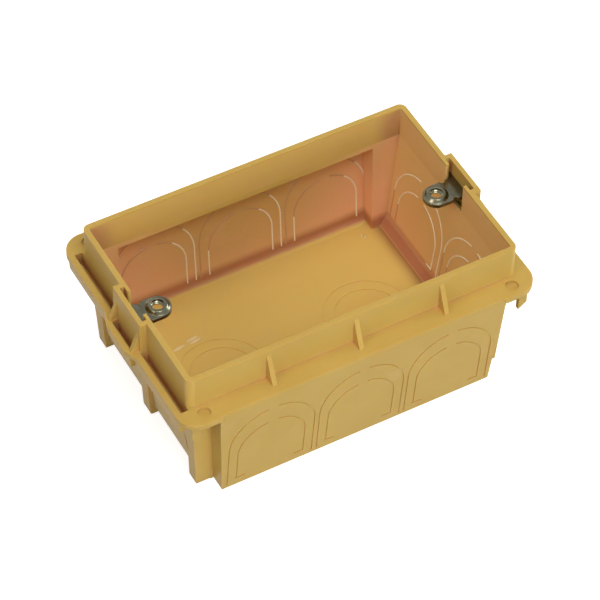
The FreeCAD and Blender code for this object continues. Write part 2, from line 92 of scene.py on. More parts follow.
class NodeTree:
    """Short calls for building a shader tree.

    Attributes:
        LOOKS: directions in which a nearness mask looks.
    """

    LOOKS: ClassVar[int] = 4

    def __init__(self, tree: bpy.types.NodeTree) -> None:
        """Keep the tree to build in.

        Args:
            tree: Blender's node tree.
        """
        self.tree = tree

    def add(self, kind: str, **values: object) -> bpy.types.Node:
        """Add a node.

        Args:
            kind: Blender's node type.
            values: node properties to set.

        Returns:
            The new node.
        """
        node = self.tree.nodes.new(kind)
        for name, value in values.items():
            setattr(node, name, value)
        return node

    def fill(self, node: bpy.types.Node, values: Dict[str, object]) -> None:
        """Set inputs of a node.

        Args:
            node: the node.
            values: the value of each input by name.
        """
        for name, value in values.items():
            node.inputs[name].default_value = value

    def link(self, source: Socket, target: Socket) -> None:
        """Join two sockets.

        Args:
            source: output to read.
            target: input to feed.
        """
        self.tree.links.new(source, target)

    def noise(self, vector: Socket, detail: float, weight: float) -> bpy.types.Node:
        """Add a noise texture whose scale is still to be given.

        Args:
            vector: coordinates to read.
            detail: octaves.
            weight: weight of the fine octaves.

        Returns:
            The noise node.
        """
        node = self.add("ShaderNodeTexNoise")
        self.link(vector, node.inputs["Vector"])
        self.fill(node, {"Detail": detail, "Roughness": weight})
        return node

    def remap(self, value: Socket, low: float, high: float, to_low: float,
              to_high: float) -> Socket:
        """Map a value from one range to another, clamped.

        Args:
            value: socket to read.
            low: start of the source range.
            high: end of the source range.
            to_low: start of the result.
            to_high: end of the result.

        Returns:
            The mapped socket.
        """
        node = self.add("ShaderNodeMapRange")
        self.link(value, node.inputs["Value"])
        self.fill(node, {"From Min": low, "From Max": high, "To Min": to_low, "To Max": to_high})
        return node.outputs["Result"]

    def rise(self, value: Socket, start: float, end: float) -> Socket:
        """Ramp a mask up from 0 to 1.

        Args:
            value: socket to read.
            start: value up to which the mask is 0.
            end: value from which it is 1.

        Returns:
            The mask.
        """
        return self.remap(value, start, end, 0.0, 1.0)

    def fall(self, value: Socket, start: float, end: float) -> Socket:
        """Ramp a mask down from 1 to 0.

        Args:
            value: socket to read.
            start: value up to which the mask is 1.
            end: value from which it is 0.

        Returns:
            The mask.
        """
        return self.remap(value, start, end, 1.0, 0.0)

    def mix(self, factor: Socket, first: Socket) -> bpy.types.Node:
        """Add a colour mix whose second colour is still to be given.

        Args:
            factor: mix factor.
            first: colour at 0.

        Returns:
            The mix node.
        """
        node = self.add("ShaderNodeMix", data_type="RGBA")
        self.link(factor, node.inputs["Factor"])
        self.link(first, node.inputs["A"])
        return node

    def tint(self, factor: Socket, first: Socket, colour: Colour) -> Socket:
        """Mix a colour socket towards a fixed colour.

        Args:
            factor: mix factor.
            first: colour at 0.
            colour: fixed colour at 1.

        Returns:
            The mixed colour.
        """
        node = self.mix(factor, first)
        self.fill(node, {"B": rgba(colour)})
        return node.outputs["Result"]

    def nearness(self, reach: float, closed: float, free: float, amount: float) -> Socket:
        """Add a mask that grows where other surfaces stand close by.

        Args:
            reach: how far to look, in metres.
            closed: open share at which the mask is full.
            free: open share at which the mask is nought.
            amount: value of the full mask.

        Returns:
            The mask socket.
        """
        look = self.add("ShaderNodeAmbientOcclusion", samples=self.LOOKS, only_local=True)
        self.fill(look, {"Distance": reach})
        return self.remap(look.outputs["AO"], closed, free, amount, 0.0)

    def join(self, operation: str, first: Socket, second: Socket) -> Socket:
        """Join two values by a math operation.

        Args:
            operation: Blender's name of it.
            first: first value.
            second: second value.

        Returns:
            The result.
        """
        node = self.add("ShaderNodeMath", operation=operation)
        self.link(first, node.inputs[0])
        self.link(second, node.inputs[1])
        return node.outputs["Value"]

    def times(self, first: Socket, second: Socket) -> Socket:
        """Multiply two masks.

        Args:
            first: first mask.
            second: second mask.

        Returns:
            The product.
        """
        return self.join("MULTIPLY", first, second)

    def size_of(self, value: Socket) -> Socket:
        """Drop the sign of a value.

        Args:
            value: socket to read.

        Returns:
            The value without its sign.
        """
        node = self.add("ShaderNodeMath", operation="ABSOLUTE")
        self.link(value, node.inputs[0])
        return node.outputs["Value"]

    def seen_directly(self) -> Socket:
        """Add a switch for camera, glossy and transmitted rays.

        Returns:
            A socket that is 1 for those rays and 0 for the rest.
        """
        path = self.add("ShaderNodeLightPath").outputs
        first = self.join("MAXIMUM", path["Is Camera Ray"], path["Is Glossy Ray"])
        return self.join("MAXIMUM", first, path["Is Transmission Ray"])


def new_group(name: str, inputs: Dict[str, Kind], outputs: Dict[str, Kind]) -> bpy.types.NodeTree:
    """Create an empty node group.

    Args:
        name: name of the group.
        inputs: type of each input by name.
        outputs: type of each output by name.

    Returns:
        The group with its sockets.
    """
    group = bpy.data.node_groups.new(name, "ShaderNodeTree")
    for way, sockets in (("INPUT", inputs), ("OUTPUT", outputs)):
        for socket, kind in sockets.items():
            group.interface.new_socket(socket, in_out=way, socket_type=kind.value)
    return group


@dataclass(frozen=True)
class GrainGroup:
    """Node group for the fine surface grain and mottled tone of a finish.

    Attributes:
        fine_detail: octaves of the grain.
        fine_weight: weight of the grain's fine octaves.
        broad_detail: octaves of the mottle.
        broad_weight: weight of the mottle's fine octaves.
        tones: noise values of the light and of the dark tone.
        roughs: noise values of the lowest and of the highest roughness.
    """

    fine_detail: float = 4.0
    fine_weight: float = 0.6
    broad_detail: float = 3.0
    broad_weight: float = 0.55
    tones: Pair = (0.32, 0.68)
    roughs: Pair = (0.3, 0.7)

    NAME: ClassVar[str] = "surface_grain"

    def build(self) -> bpy.types.NodeTree:
        """Build the group once.

        Returns:
            The node group with Tone, Height and Roughness outputs.
        """
        group = new_group(
            self.NAME,
            {"Light": Kind.COLOUR, "Dark": Kind.COLOUR, "Fine Scale": Kind.VALUE,
             "Broad Scale": Kind.VALUE, "Rough Low": Kind.VALUE, "Rough High": Kind.VALUE},
            {"Tone": Kind.COLOUR, "Height": Kind.VALUE, "Roughness": Kind.VALUE})
        net = NodeTree(group)
        given = net.add("NodeGroupInput").outputs
        result = net.add("NodeGroupOutput").inputs
        place = net.add("ShaderNodeTexCoord").outputs["Object"]
        fine = net.noise(place, self.fine_detail, self.fine_weight)
        net.link(given["Fine Scale"], fine.inputs["Scale"])
        broad = net.noise(place, self.broad_detail, self.broad_weight)
        net.link(given["Broad Scale"], broad.inputs["Scale"])
        tone = net.mix(net.rise(broad.outputs["Fac"], *self.tones), given["Light"])
        net.link(given["Dark"], tone.inputs["B"])
        net.link(tone.outputs["Result"], result["Tone"])
        net.link(fine.outputs["Fac"], result["Height"])
        rough = net.rise(fine.outputs["Fac"], *self.roughs)
        net.link(given["Rough Low"], rough.node.inputs["To Min"])
        net.link(given["Rough High"], rough.node.inputs["To Max"])
        net.link(rough, result["Roughness"])
        return group


@dataclass(frozen=True)
class ScuffGroup:
    """Node group for sparse rubbed streaks.

    Attributes:
        heading: direction of the streaks in degrees.
        stretch: how many times longer than wide the streaks are.
        streak_detail: octaves of the streaks.
        streaks: noise values at which a streak begins and is full.
        patch_scale: scale of the rubbed patches per metre.
        patch_detail: octaves of the patches.
        patches: noise values at which a patch begins and is full.
        weight: weight of the fine octaves.
    """

    heading: float = 34.0
    stretch: float = 9.0
    streak_detail: float = 2.0
    streaks: Pair = (0.62, 0.70)
    patch_scale: float = 38.0
    patch_detail: float = 1.0
    patches: Pair = (0.55, 0.68)
    weight: float = 0.5

    NAME: ClassVar[str] = "rubbed_streaks"

    def build(self) -> bpy.types.NodeTree:
        """Build the group once.

        Returns:
            The node group with a Mask output.
        """
        group = new_group(self.NAME, {"Scale": Kind.VALUE, "Amount": Kind.VALUE},
                          {"Mask": Kind.VALUE})
        net = NodeTree(group)
        given = net.add("NodeGroupInput").outputs
        result = net.add("NodeGroupOutput").inputs
        place = net.add("ShaderNodeTexCoord").outputs["Object"]
        turn = net.add("ShaderNodeMapping")
        net.link(place, turn.inputs["Vector"])
        net.fill(turn, {"Rotation": (0.0, 0.0, math.radians(self.heading)),
                        "Scale": (1.0, self.stretch, 1.0)})
        streak = net.noise(turn.outputs["Vector"], self.streak_detail, self.weight)
        net.link(given["Scale"], streak.inputs["Scale"])
        patch = net.noise(place, self.patch_detail, self.weight)
        net.fill(patch, {"Scale": self.patch_scale})
        both = net.times(net.rise(streak.outputs["Fac"], *self.streaks),
                         net.rise(patch.outputs["Fac"], *self.patches))
        net.link(net.times(both, given["Amount"]), result["Mask"])
        return group


@dataclass(frozen=True)
class WallLine:
    """Middle of a leaning wall's thickness.

    Attributes:
        foot: distance from the middle of the box at floor level, in metres.
        lean: outward lean of the wall.
    """

    foot: float
    lean: float

    def at(self, net: NodeTree, level: Socket, top: float) -> Socket:
        """Give the wall's distance at a level.

        Args:
            net: network the nodes go in.
            level: height over the foot.
            top: highest level of the wall.

        Returns:
            The distance from the middle of the box.
        """
        return net.remap(level, 0.0, top, self.foot, self.foot + self.lean * top)


@dataclass(frozen=True)
class InnerFaceGroup:
    """Node group that tells the inner faces of the box from its outside.

    Attributes:
        short_wall: short wall of the core.
        short_foot: sloping foot of a short wall.
        core_side: long side of the core.
        bay_wall: outer wall of the bays.
        bay_end: end wall of the bays.
        top: level up to which the walls lean.
        bay_top: levels between which the bays fade.
        rim: levels under the rounded rim between which all inner faces fade.
        collar_foot: levels between which the walls pass into the collar.
        floor_top: levels between which the floor passes into the walls.
        skin: levels inside the thickness of the floor between which it begins.
        ends: places along the box between which the ends begin.
        end_sides: places across the box between which the ends fade.
        bevel: places along the box between which the bevel of the floor begins.
        shade: places along the box between which the painted shade at the floor's ends grows.
    """

    short_wall: WallLine = WallLine(43.8 * MM, 3.8 / 33.2)
    short_foot: WallLine = WallLine(40.96 * MM, 0.6745)
    core_side: WallLine = WallLine(27.8 * MM, 1.5 / 34.8)
    bay_wall: WallLine = WallLine(32.3 * MM, 3.0 / 34.8)
    bay_end: WallLine = WallLine(39.8 * MM, 1.9 / 34.8)
    top: float = 33.2 * MM
    bay_top: Pair = (33.2 * MM, 33.2996 * MM)
    rim: Pair = (44.3 * MM, 44.6544 * MM)
    collar_foot: Pair = (34.5 * MM, 34.845 * MM)
    floor_top: Pair = (1.7 * MM, 2.21 * MM)
    skin: Pair = (0.8 * MM, 0.96 * MM)
    ends: Pair = (42.0 * MM, 46.6 * MM)
    end_sides: Pair = (28.215 * MM, 28.5 * MM)
    bevel: Pair = (40.6 * MM, 41.4 * MM)
    shade: Pair = (36.8 * MM, 41.4 * MM)

    NAME: ClassVar[str] = "inner_faces"
    MASKS: ClassVar[Tuple[str, ...]] = ("Walls", "Collar", "Ends", "Floor", "Shade", "Bevel",
                                        "Level")

    def build(self) -> bpy.types.NodeTree:
        """Build the group once.

        Returns:
            The node group with a mask for each kind of face, and the Level.
        """
        group = new_group(self.NAME, {}, {name: Kind.VALUE for name in self.MASKS})
        net = NodeTree(group)
        result = net.add("NodeGroupOutput")
        split = net.add("ShaderNodeSeparateXYZ")
        net.link(net.add("ShaderNodeTexCoord").outputs["Object"], split.inputs["Vector"])
        level = split.outputs["Z"]
        along = net.size_of(split.outputs["X"])
        across = net.size_of(split.outputs["Y"])
        within = self.within(net, along, across, level)
        inner = net.times(within, net.rise(level, *self.floor_top))
        walls = net.times(inner, net.fall(level, *self.collar_foot))
        collar = net.times(inner, net.rise(level, *self.collar_foot))
        ends = net.times(net.rise(along, *self.ends), net.fall(across, *self.end_sides))
        sunk = net.times(net.fall(level, *self.floor_top), net.rise(level, *self.skin))
        floor = net.times(within, sunk)
        shade = net.rise(along, *self.shade)
        masks = (walls, collar, net.times(ends, inner), floor,
                 net.times(net.times(shade, shade), floor),
                 net.times(net.rise(along, *self.bevel), walls), level)
        for name, mask in zip(self.MASKS, masks):
            net.link(mask, result.inputs[name])
        return group

    def within(self, net: NodeTree, along: Socket, across: Socket, level: Socket) -> Socket:
        """Tell what lies within the middle of the walls' thickness.

        Args:
            net: network the nodes go in.
            along: distance from the middle along the box.
            across: distance from the middle across the box.
            level: height over the foot.

        Returns:
            A mask that is 1 inside the box, up to its rim.
        """
        short_wall = net.join("MINIMUM", self.short_wall.at(net, level, self.top),
                              self.short_foot.at(net, level, self.top))
        core = net.times(
            net.join("LESS_THAN", along, short_wall),
            net.join("LESS_THAN", across, self.core_side.at(net, level, self.top)))
        bay = net.times(
            net.join("LESS_THAN", along, self.bay_end.at(net, level, self.top)),
            net.join("LESS_THAN", across, self.bay_wall.at(net, level, self.top)))
        bay = net.times(bay, net.fall(level, *self.bay_top))
        return net.times(net.join("MAXIMUM", core, bay), net.fall(level, *self.rim))


@dataclass(frozen=True)
class InnerPaintedLight:
    """Painted bounce light and painted shade on the inner faces of the resin, laid into its base
    colour.

    Attributes:
        collar: painted light, a lighter tone of the collar's inner long faces.
        corner: painted shade in the collar's corners.
        long_wall_bounce: painted bounce light on the long walls.
        short_wall: painted bounce light on the short walls.
        floor: painted light, a lighter tone of the floor.
        floor_end_shade: painted shade at the ends of the floor.
        foot: painted shade along the foot of the walls.
        reach: how near the facing walls are for the painted bounce light, in metres.
        openness: open shares at which the long walls' painted bounce light is full and nought.
        foot_shade_amount: strength of the painted shade along the foot.
        foot_shade_reach: how near the floor is for that painted shade, in metres.
        foot_shade_openness: open shares at which that painted shade is full and nought.
        foot_shade_top: levels between which that painted shade fades, in metres.
    """

    collar: Colour
    corner: Colour
    long_wall_bounce: Colour
    short_wall: Colour
    floor: Colour
    floor_end_shade: Colour
    foot: Colour
    reach: float
    openness: Pair
    foot_shade_amount: float
    foot_shade_reach: float
    foot_shade_openness: Pair
    foot_shade_top: Pair

    def build(self, net: NodeTree, group: bpy.types.NodeTree, base: Socket) -> Socket:
        """Lay the painted light and shade over a base tone.

        Args:
            net: network of the material.
            group: node group of the inner faces.
            base: tone of the outside.

        Returns:
            The tone with the painted light and shade of the inner faces in it.
        """
        inner = net.add("ShaderNodeGroup", node_tree=group).outputs
        crease_shade = net.nearness(self.foot_shade_reach, *self.foot_shade_openness, self.foot_shade_amount)
        near = net.nearness(self.reach, *self.openness, 1.0)
        foot_shade = net.join("MAXIMUM", crease_shade, inner["Bevel"])
        beneath = net.fall(inner["Level"], *self.foot_shade_top)
        # Painted bounce light on the collar, walls and floor; painted shade in the collar's
        # corners, at the floor's ends and along the walls' foot.
        layers = (
            (inner["Collar"], self.collar),
            (net.times(crease_shade, inner["Collar"]), self.corner),
            (net.times(near, inner["Walls"]), self.long_wall_bounce),
            (inner["Ends"], self.short_wall),
            (inner["Floor"], self.floor),
            (inner["Shade"], self.floor_end_shade),
            (net.times(net.times(foot_shade, beneath), inner["Walls"]), self.foot),
        )
        tone = base
        for mask, colour in layers:
            tone = net.tint(mask, tone, colour)
        return tone


@dataclass(frozen=True)
class Finish:
    """One surface finish.

    Attributes:
        name: material name.
        light: lighter tone of the surface.
        dark: darker tone of the surface.
        scuffed: tone of rubbed streaks.
        hollow_shade: painted shade in narrow hollows and along inner corners.
        rough: lowest and highest roughness.
        fine_scale: grain scale per metre.
        broad_scale: mottle scale per metre.
        metallic: how far it is metal.
        bump_depth: depth of the grain in metres.
        scuff_scale: streak scale per metre.
        scuff_amount: strength of the streaks.
        specular: strength of the plain surface reflection.
        hollow_shade_reach: how near a facing surface is for the painted hollow shade, in metres.
        hollow_shade_amount: strength of that painted shade.
        subsurface: share of light scattered under the surface.
        inner: painted bounce light and painted shade of the inner faces, if it has them.
        BUMP_STRENGTH: strength of the grain's relief.
        HOLLOW_SHADE_OPENNESS: open shares at which the painted hollow shade is full and nought.
        SCATTER_RADIUS: how far red, green and blue scatter, as shares.
        SCATTER_SCALE: the farthest scatter in metres.
    """

    name: str
    light: Colour
    dark: Colour
    scuffed: Colour
    hollow_shade: Colour
    rough: Pair
    fine_scale: float = 2600.0
    broad_scale: float = 160.0
    metallic: float = 0.0
    bump_depth: float = 0.02 * MM
    scuff_scale: float = 90.0
    scuff_amount: float = 0.4
    specular: float = 0.4
    hollow_shade_reach: float = 1.0 * MM
    hollow_shade_amount: float = 0.1
    subsurface: float = 0.0
    inner: Optional[InnerPaintedLight] = None

    BUMP_STRENGTH: ClassVar[float] = 0.6
    HOLLOW_SHADE_OPENNESS: ClassVar[Pair] = (0.2, 0.45)
    SCATTER_RADIUS: ClassVar[Colour] = (1.0, 0.5, 0.15)
    SCATTER_SCALE: ClassVar[float] = 1.2 * MM

    def build(self, groups: Dict[str, bpy.types.NodeTree]) -> bpy.types.Material:
        """Build the material.

        Args:
            groups: the shared node groups by name.

        Returns:
            The new material.
        """
        material = bpy.data.materials.new(self.name)
        material.use_nodes = True
        net = NodeTree(material.node_tree)
        shader = material.node_tree.nodes["Principled BSDF"]
        net.fill(shader, {
            "Metallic": self.metallic,
            "Specular IOR Level": self.specular,
            "Subsurface Weight": self.subsurface,
            "Subsurface Radius": self.SCATTER_RADIUS,
            "Subsurface Scale": self.SCATTER_SCALE,
        })
        grain = net.add("ShaderNodeGroup", node_tree=groups[GrainGroup.NAME])
        net.fill(grain, {
            "Light": rgba(self.light),
            "Dark": rgba(self.dark),
            "Fine Scale": self.fine_scale,
            "Broad Scale": self.broad_scale,
            "Rough Low": self.rough[0],
            "Rough High": self.rough[1],
        })
        scuff = net.add("ShaderNodeGroup", node_tree=groups[ScuffGroup.NAME])
        net.fill(scuff, {"Scale": self.scuff_scale, "Amount": self.scuff_amount})
        tone = net.tint(scuff.outputs["Mask"], grain.outputs["Tone"], self.scuffed)
        # Painted bounce light and painted shade on the inner faces.
        if self.inner is not None:
            tone = self.inner.build(net, groups[InnerFaceGroup.NAME], tone)
        # Painted shade in narrow hollows and along inner corners, laid into the base colour.
        hollow_shade_mask = net.nearness(self.hollow_shade_reach, *self.HOLLOW_SHADE_OPENNESS, self.hollow_shade_amount)
        net.link(net.tint(hollow_shade_mask, tone, self.hollow_shade), shader.inputs["Base Color"])
        net.link(grain.outputs["Roughness"], shader.inputs["Roughness"])
        bump = net.add("ShaderNodeBump")
        net.fill(bump, {"Strength": self.BUMP_STRENGTH, "Distance": self.bump_depth})
        net.link(grain.outputs["Height"], bump.inputs["Height"])
        net.link(bump.outputs["Normal"], shader.inputs["Normal"])
        return material


RESIN = Finish(
    name="yellow_resin",
    light=(0.560, 0.385, 0.100),
    dark=(0.530, 0.355, 0.088),
    scuffed=(0.58, 0.41, 0.15),
    # Painted shade in narrow hollows, warm for the resin.
    hollow_shade=(0.70, 0.34, 0.20),
    rough=(0.36, 0.48),
    broad_scale=60.0,
    bump_depth=0.04 * MM,
    scuff_amount=0.5,
    specular=0.12,
    hollow_shade_reach=3.5 * MM,
    hollow_shade_amount=0.7,
    subsurface=0.5,
    # Painted bounce light and painted shade of the inner faces.
    inner=InnerPaintedLight(
        collar=(0.63, 0.43, 0.122),
        corner=(0.46, 0.25, 0.11),
        long_wall_bounce=(0.87, 0.50, 0.30),
        short_wall=(0.76, 0.51, 0.225),
        floor=(0.71, 0.51, 0.146),
        floor_end_shade=(0.37, 0.175, 0.064),
        foot=(0.46, 0.19, 0.098),
        reach=35.0 * MM,
        openness=(0.45, 0.93),
        foot_shade_amount=0.9,
        foot_shade_reach=9.0 * MM,
        foot_shade_openness=(0.88, 1.02),
        foot_shade_top=(4.2 * MM, 7.0 * MM),
    ),
)
# Line resin on the flank that faces the light: a painted highlight.
HIGHLIT_LINE_RESIN = Finish(
    name="bright_edge_resin",
    light=(0.90, 0.82, 0.64),
    dark=(0.88, 0.76, 0.54),
    scuffed=(0.92, 0.86, 0.72),
    # Painted shade in narrow hollows.
    hollow_shade=(0.90, 0.70, 0.50),
    rough=(0.22, 0.34),
    specular=0.5,
)
# Line resin on the flank turned from the light: painted shade.
SHADED_LINE_RESIN = Finish(
    name="line_resin_painted_shade",
    light=(0.60, 0.34, 0.17),
    dark=(0.56, 0.31, 0.15),
    scuffed=(0.62, 0.38, 0.20),
    # Painted shade in narrow hollows.
    hollow_shade=(0.40, 0.20, 0.09),
    rough=(0.28, 0.40),
    hollow_shade_amount=0.2,
)
RUBBED_RESIN = Finish(
    name="rubbed_resin",
    light=(0.82, 0.66, 0.36),
    dark=(0.76, 0.59, 0.28),
    scuffed=(0.84, 0.72, 0.46),
    # Painted shade in narrow hollows.
    hollow_shade=(0.60, 0.45, 0.21),
    rough=(0.40, 0.55),
    broad_scale=400.0,
    scuff_scale=300.0,
)
ZINC = Finish(
    name="zinc_plated_steel",
    light=(0.22, 0.21, 0.145),
    dark=(0.14, 0.135, 0.09),
    scuffed=(0.52, 0.50, 0.42),
    # Painted shade in the lugs' hollows.
    hollow_shade=(0.10, 0.095, 0.065),
    rough=(0.15, 0.28),
    fine_scale=3800.0,
    broad_scale=260.0,
    metallic=1.0,
    bump_depth=0.03 * MM,
    scuff_scale=420.0,
    scuff_amount=0.6,
    specular=0.5,
    hollow_shade_reach=1.5 * MM,
    hollow_shade_amount=0.8,
)


@dataclass(frozen=True)
class SoftEdges:
    """Softly rounded edges of a CAD node.

    Attributes:
        radius: radius of the moulded or stamped edges in metres.
        segments: steps across an edge.
        angle: smallest angle of a rounded edge in degrees.
        profile: roundness of the edge.
        weld: how near facets' corners lie that are joined, in metres.
    """

    radius: float
    segments: int = 2
    angle: float = 28.0
    profile: float = 0.5
    weld: float = 1e-6

    def dress(self, node: Node, material: bpy.types.Material) -> None:
        """Give a CAD node its material and its edges.

        Args:
            node: the CAD node.
            material: its finish.
        """
        piece = frame["nodes"][node.value]
        piece.data.materials.clear()
        piece.data.materials.append(material)
        weld = piece.modifiers.new("join_facets", "WELD")
        weld.merge_threshold = self.weld
        bevel = piece.modifiers.new("soft_edges", "BEVEL")
        bevel.limit_method = "ANGLE"
        bevel.angle_limit = math.radians(self.angle)
        bevel.width = self.radius
        bevel.segments = self.segments
        bevel.profile = self.profile
        bevel.harden_normals = True
        bevel.use_clamp_overlap = True
        LOG.info("dressed %s", node.value)


@dataclass
class Moulding:
    """The resin box.

    Attributes:
        edges: its moulded edges.
    """

    edges: SoftEdges = SoftEdges(0.22 * MM)

    def build(self, resin: bpy.types.Material) -> None:
        """Dress the box in its resin.

        Args:
            resin: the resin finish.
        """
        self.edges.dress(Node.BOX, resin)


def new_object(name: str, mesh: bmesh.types.BMesh, material: bpy.types.Material,
               smooth: bool) -> bpy.types.Object:
    """Turn a finished mesh into an object of the scene.

    Args:
        name: name of the object.
        mesh: its mesh, which is used up.
        material: its finish.
        smooth: True for smooth shading.

    Returns:
        The new object.
    """
    data = bpy.data.meshes.new(name)
    mesh.to_mesh(data)
    mesh.free()
    for face in data.polygons:
        face.use_smooth = smooth
    data.materials.append(material)
    piece = bpy.data.objects.new(name, data)
    bpy.context.scene.collection.objects.link(piece)
    LOG.info("made %s", name)
    return piece


class Wall(Enum):
    """Inner walls that carry knockout outlines."""

    FAR = "far"
    NEAR = "near"
    RIGHT = "right"
    LEFT = "left"

    @property
    def is_long(self) -> bool:
        """Tell if it is one of the two long walls.

        Returns:
            True for a long wall.
        """
        return self in (Wall.FAR, Wall.NEAR)


class Flank(Enum):
    """The two half arches of a knockout outline, seen from inside the box."""

    RIGHT = 1.0
    LEFT = -1.0


class Line(Enum):
    """Painted highlight and painted shade of the lines, each with the flank that it falls on."""

    BRIGHT = Flank.RIGHT
    PAINTED_SHADE = Flank.LEFT


@dataclass(frozen=True)
class Arch:
    """One arched outline of a knockout.

    Attributes:
        radius: radius of the arch in metres.
        centre: height of its centre up the wall.
        bright: share of its right half in painted highlight on the long walls.
    """

    radius: float
    centre: float
    bright: float


@dataclass
class KnockoutBeads:
    """Fine raised outlines of the knockouts on the inner walls.

    Attributes:
        pitch: spacing of the knockouts in metres.
        frame_arch: the large arch.
        plug_arch: the small arch.
        long_foot: lower end of the outlines on the long walls.
        short_foot: lower end of the outlines on the short walls.
        tick: length of the small foot marks.
        gap: half width of the break at the crown.
        width: width of a bead.
        rise: height of a bead over the wall.
        sink: depth of a bead's edges in the wall.
        shoulder: place of a bead's shoulders, as a share of its width.
        shoulder_rise: height of the shoulders, as a share of the rise.
        long_face: inner face of a long wall at floor level.
        long_lean: outward lean of a long wall.
        short_face: inner face of a short wall at floor level.
        short_lean: outward lean of a short wall.
        steps: steps round a stretch of arch.
        merge: how near corners lie that are joined.
    """

    pitch: float = 26.7 * MM
    frame_arch: Arch = Arch(12.6 * MM, 16.4 * MM, 0.5)
    plug_arch: Arch = Arch(9.9 * MM, 13.2 * MM, 0.65)
    long_foot: float = 4.0 * MM
    short_foot: float = 5.6 * MM
    tick: float = 2.4 * MM
    gap: float = 1.5 * MM
    width: float = 0.5 * MM
    rise: float = 0.16 * MM
    sink: float = 0.05 * MM
    shoulder: float = 0.32
    shoulder_rise: float = 0.7
    long_face: float = 31.5 * MM
    long_lean: float = 3.0 / 34.8
    short_face: float = 43.217 * MM
    short_lean: float = 3.8 / 33.2
    steps: int = 12
    merge: float = 1e-7

    def build(self, tones: Dict[Line, bpy.types.Material]) -> None:
        """Make the outlines of all four walls, one piece in painted highlight and one in painted
        shade for each wall.

        Args:
            tones: the finish of the lines in painted highlight and of those in painted shade.
        """
        long_places = (-self.pitch, 0.0, self.pitch)
        short_places = (-self.pitch / 2.0, self.pitch / 2.0)
        for wall in Wall:
            for line, tone in tones.items():
                mesh = bmesh.new()
                for middle in long_places if wall.is_long else short_places:
                    if wall.is_long:
                        self.long_arches(mesh, line, middle)
                    else:
                        self.short_arches(mesh, line, middle)
                bmesh.ops.remove_doubles(mesh, verts=mesh.verts, dist=self.merge)
                bmesh.ops.recalc_face_normals(mesh, faces=mesh.faces)
                bmesh.ops.transform(mesh, matrix=self.seat(wall), verts=mesh.verts)
                name = "knockout_beads_%s_%s" % (wall.value, line.value.name.lower())
                piece = new_object(name, mesh, tone, True)
                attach(piece, BODY)

    def long_arches(self, mesh: bmesh.types.BMesh, line: Line, middle: float) -> None:
        """Make one knockout's lines in painted highlight or in painted shade on a long wall.

        Args:
            mesh: mesh to add to.
            line: painted highlight or painted shade of the lines.
            middle: place across the wall.
        """
        is_highlit = line is Line.BRIGHT
        for arch in (self.frame_arch, self.plug_arch):
            if is_highlit:
                self.stretch(mesh, Flank.RIGHT, middle, arch, 0.0, arch.bright)
                self.leg(mesh, Flank.RIGHT, middle, arch, self.long_foot, 0.0)
            else:
                self.stretch(mesh, Flank.RIGHT, middle, arch, arch.bright, 1.0)
                self.stretch(mesh, Flank.LEFT, middle, arch, 0.0, 1.0)
        left_arch = self.plug_arch if is_highlit else self.frame_arch
        self.leg(mesh, Flank.LEFT, middle, left_arch, self.long_foot, 0.0)

    def short_arches(self, mesh: bmesh.types.BMesh, line: Line, middle: float) -> None:
        """Make one knockout's lines in painted highlight or in painted shade on a short wall.

        Args:
            mesh: mesh to add to.
            line: painted highlight or painted shade of the lines.
            middle: place across the wall.
        """
        for arch, tick in ((self.frame_arch, 0.0), (self.plug_arch, self.tick)):
            if line is Line.BRIGHT:
                for flank in Flank:
                    self.stretch(mesh, flank, middle, arch, 0.0, 1.0)
            self.leg(mesh, line.value, middle, arch, self.short_foot, tick)

    def seat(self, wall: Wall) -> Matrix:
        """Give the matrix from a wall's own plane to the box.

        Args:
            wall: the wall to lie on.

        Returns:
            Columns across, up and out of the wall, and its foot.
        """
        lean = math.atan(self.long_lean if wall.is_long else self.short_lean)
        rise, run = math.cos(lean), math.sin(lean)
        if wall.is_long:
            across, upward = Vector((1.0, 0.0, 0.0)), Vector((0.0, run, rise))
            outward, foot = Vector((0.0, -rise, run)), Vector((0.0, self.long_face, 0.0))
        else:
            across, upward = Vector((0.0, -1.0, 0.0)), Vector((run, 0.0, rise))
            outward, foot = Vector((-rise, 0.0, run)), Vector((self.short_face, 0.0, 0.0))
        basis = Matrix((across, upward, outward)).transposed().to_4x4()
        place = Matrix.Translation(foot) @ basis
        if wall in (Wall.NEAR, Wall.LEFT):
            place = Matrix.Rotation(math.pi, 4, "Z") @ place
        return place

    def section(self, mesh: bmesh.types.BMesh, reach: float, height: float,
                upright: bool) -> List[bmesh.types.BMEdge]:
        """Draw a bead's cross-section.

        Args:
            mesh: mesh to draw in.
            reach: place of the section across the wall.
            height: place of the section up the wall.
            upright: True if the section spreads up the wall and not across it.

        Returns:
            The section's edges.
        """
        shoulder_rise = self.rise * self.shoulder_rise
        shape = ((-0.5, -self.sink), (-self.shoulder, shoulder_rise), (0.0, self.rise),
                 (self.shoulder, shoulder_rise), (0.5, -self.sink))
        points = []
        for share, lift in shape:
            spread = share * self.width
            spot = (reach, height + spread, lift) if upright else (reach + spread, height, lift)
            points.append(mesh.verts.new(spot))
        return [mesh.edges.new(pair) for pair in zip(points, points[1:])]

    def sweep(self, mesh: bmesh.types.BMesh, edges: List[bmesh.types.BMEdge],
              move: Vector) -> None:
        """Draw a section out along a straight run.

        Args:
            mesh: mesh to work in.
            edges: section to draw out.
            move: the run.
        """
        made = bmesh.ops.extrude_edge_only(mesh, edges=edges)["geom"]
        ends = [item for item in made if isinstance(item, bmesh.types.BMVert)]
        bmesh.ops.translate(mesh, verts=ends, vec=move)

